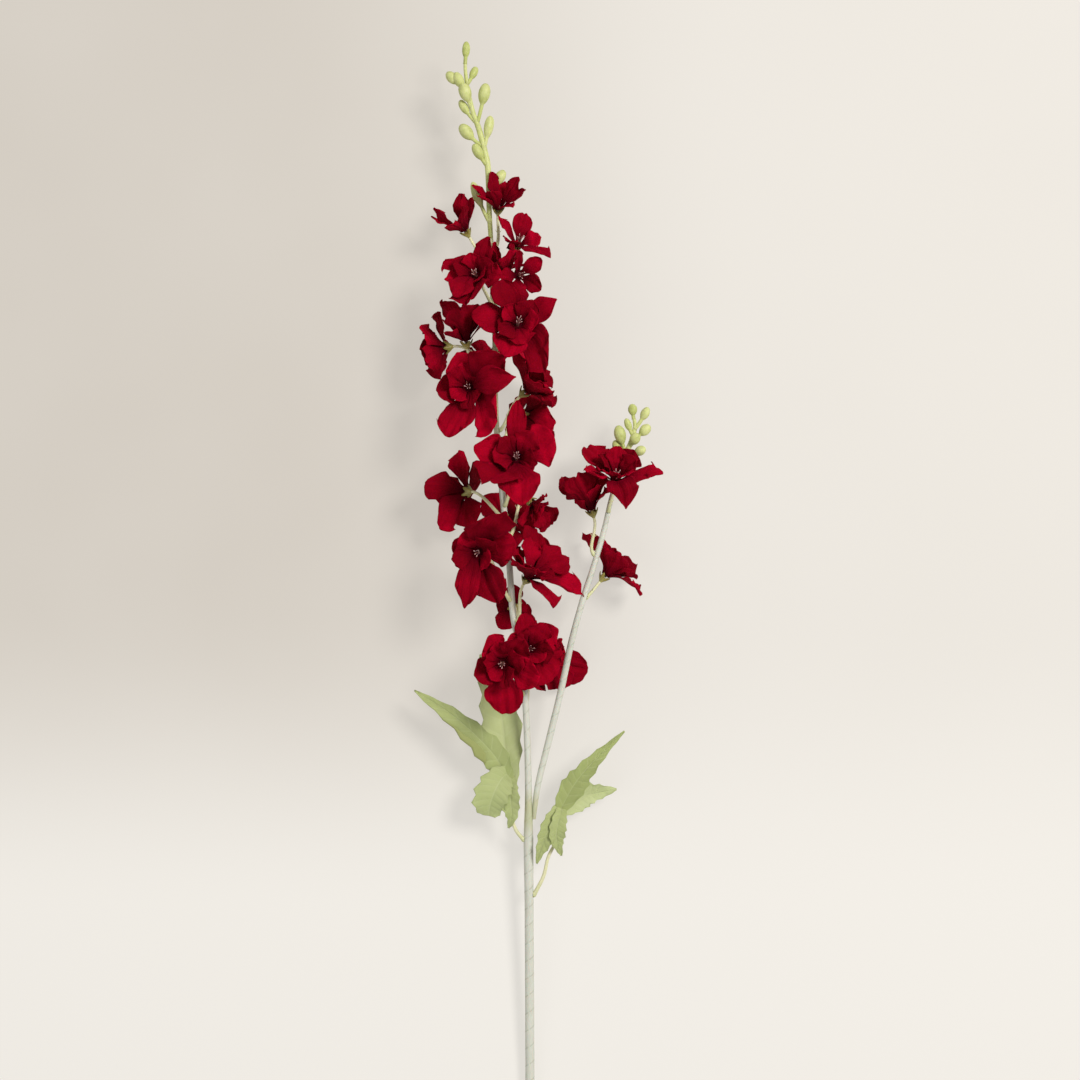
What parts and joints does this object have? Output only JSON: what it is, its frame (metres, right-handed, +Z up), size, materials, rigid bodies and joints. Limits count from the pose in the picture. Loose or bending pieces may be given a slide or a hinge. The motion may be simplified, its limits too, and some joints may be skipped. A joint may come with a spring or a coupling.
{
  "type": "delphinium flower spike",
  "caption": "Artificial delphinium spike with dark red cloth blooms, green bud tips, lobed leaves and a short side branch, lying on a surface.",
  "frame": {"origin": "on the surface it lies on, under the middle of its whole length and width", "axes": "+Y from the cut end of the stem to the tip of the spike, +X to the spike's right side seen from above, +Z up from the surface"},
  "size_m": [0.1795, 0.8073, 0.1065],
  "materials": {
    "petal": "matt dark red cloth with a velvet sheen",
    "stalk": "satin cream-green plastic",
    "stem_tape": "pale grey-green wound tape",
    "bud": "satin yellow-green plastic",
    "leaf": "matt light sage cloth with pressed veins"
  },
  "bodies": {
    "root": {"main_stem": "stem_tape", "side_stem": "stem_tape", "main_bud_sprig": "bud", "side_bud_sprig": "bud", "left_leaf_stalk": "stalk", "left_leaf_blade": "leaf", "right_leaf_stalk": "stalk", "right_leaf_blade": "leaf", "bloom_01": "petal", "bloom_02": "petal", "bloom_03": "petal", "bloom_04": "petal", "bloom_05": "petal", "bloom_06": "petal", "bloom_07": "petal", "bloom_08": "petal", "bloom_09": "petal", "bloom_10": "petal", "bloom_11": "petal", "bloom_12": "petal", "bloom_13": "petal", "bloom_14": "petal", "bloom_15": "petal", "bloom_16": "petal", "bloom_17": "petal", "bloom_18": "petal", "bloom_19": "petal", "bloom_20": "petal", "bloom_21": "petal", "bloom_22": "petal", "bloom_23": "petal", "bloom_24": "petal", "bloom_25": "petal", "bloom_26": "petal", "bloom_stalk_01": "stalk", "bloom_stalk_02": "stalk", "bloom_stalk_03": "stalk", "bloom_stalk_04": "stalk", "bloom_stalk_05": "stalk", "bloom_stalk_06": "stalk", "bloom_stalk_07": "stalk", "bloom_stalk_08": "stalk", "bloom_stalk_09": "stalk", "bloom_stalk_10": "stalk", "bloom_stalk_11": "stalk", "bloom_stalk_12": "stalk", "bloom_stalk_13": "stalk", "bloom_stalk_14": "stalk", "bloom_stalk_15": "stalk", "bloom_stalk_16": "stalk", "bloom_stalk_17": "stalk", "bloom_stalk_18": "stalk", "bloom_stalk_19": "stalk", "bloom_stalk_20": "stalk", "bloom_stalk_21": "stalk", "bloom_stalk_22": "stalk", "bloom_stalk_23": "stalk", "bloom_stalk_24": "stalk", "bloom_stalk_25": "stalk", "bloom_stalk_26": "stalk"}
  },
  "joints": []
}
